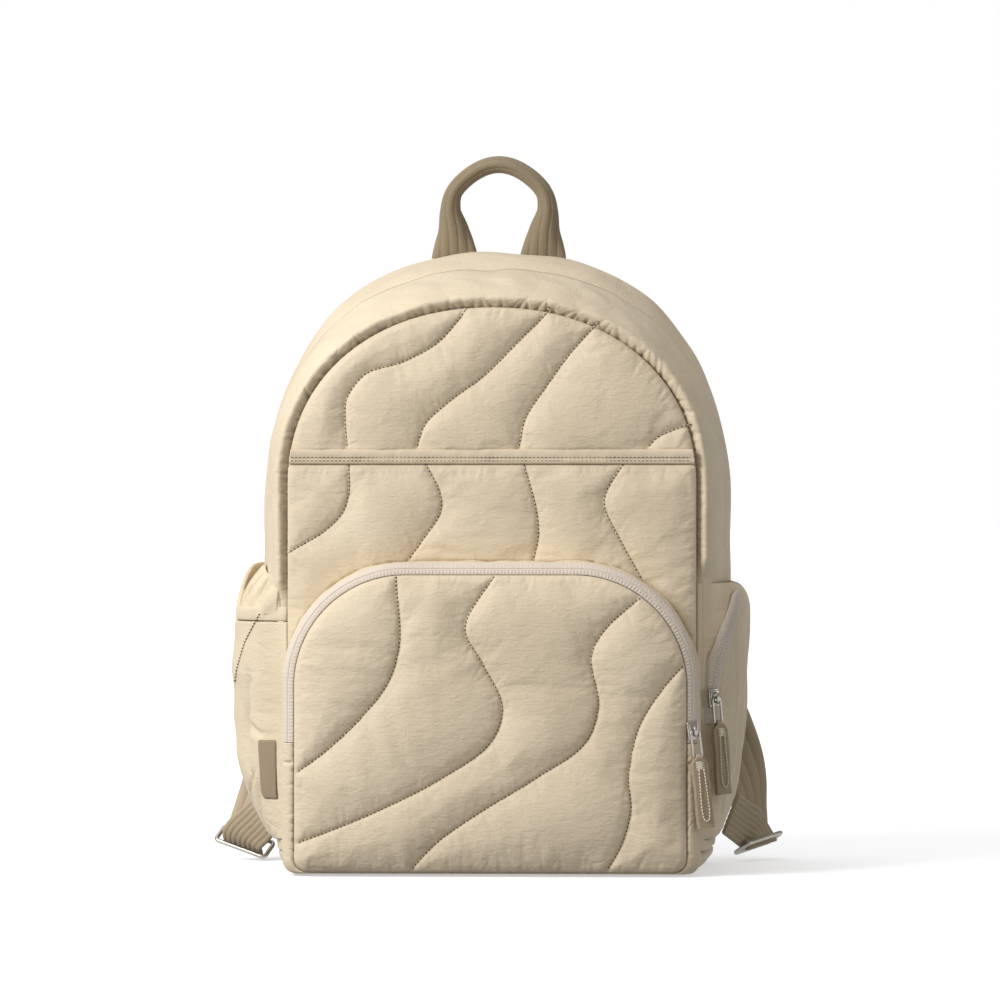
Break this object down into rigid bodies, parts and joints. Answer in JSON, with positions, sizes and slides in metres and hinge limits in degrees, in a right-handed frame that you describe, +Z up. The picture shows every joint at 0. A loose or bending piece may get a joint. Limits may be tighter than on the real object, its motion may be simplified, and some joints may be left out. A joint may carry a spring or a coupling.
{
  "type": "quilted puffer backpack",
  "caption": "Padded nylon backpack with wavy quilted channels, slip pocket, zipped front and side pockets, elastic bottle pocket, webbing handle and shoulder straps.",
  "frame": {"origin": "middle of the base's underside, between the front and back seams of the body", "axes": "+Z up from the base to the carry handle, the quilted front faces -Y, +X to the right of someone looking at the front"},
  "size_m": [0.3792, 0.2213, 0.4641],
  "materials": {
    "nylon": "crinkled matte nylon over light padding",
    "binding": "plain folded nylon with a double row of stitches",
    "zip": "woven zip tape with a coil",
    "grosgrain": "ribbed grosgrain webbing",
    "label": "smooth woven tab, left bare",
    "metal": "polished nickel plate"
  },
  "bodies": {
    "root": {"gusset_front_band": "nylon", "gusset_back_band": "nylon", "base_panel": "nylon", "front_panel": "nylon", "slip_pocket_panel": "nylon", "slip_pocket_binding": "binding", "front_pocket_gusset": "nylon", "front_pocket_zip": "zip", "front_pocket_lower_strip": "nylon", "front_pocket_panel": "nylon", "back_panel": "nylon", "left_pocket_panel": "nylon", "right_pocket_panel": "nylon", "left_pocket_hem": "nylon", "left_pocket_gather": "nylon", "side_label": "label", "right_pocket_zip": "zip", "front_zip_slider": "metal", "front_zip_link": "metal", "front_zip_tab": "grosgrain", "right_zip_slider": "metal", "right_zip_link": "metal", "right_zip_tab": "grosgrain", "carry_handle": "grosgrain", "shoulder_strap_left": "grosgrain", "adjuster_webbing_left": "grosgrain", "slide_buckle_left": "metal", "shoulder_strap_right": "grosgrain", "adjuster_webbing_right": "grosgrain", "slide_buckle_right": "metal"}
  },
  "joints": []
}
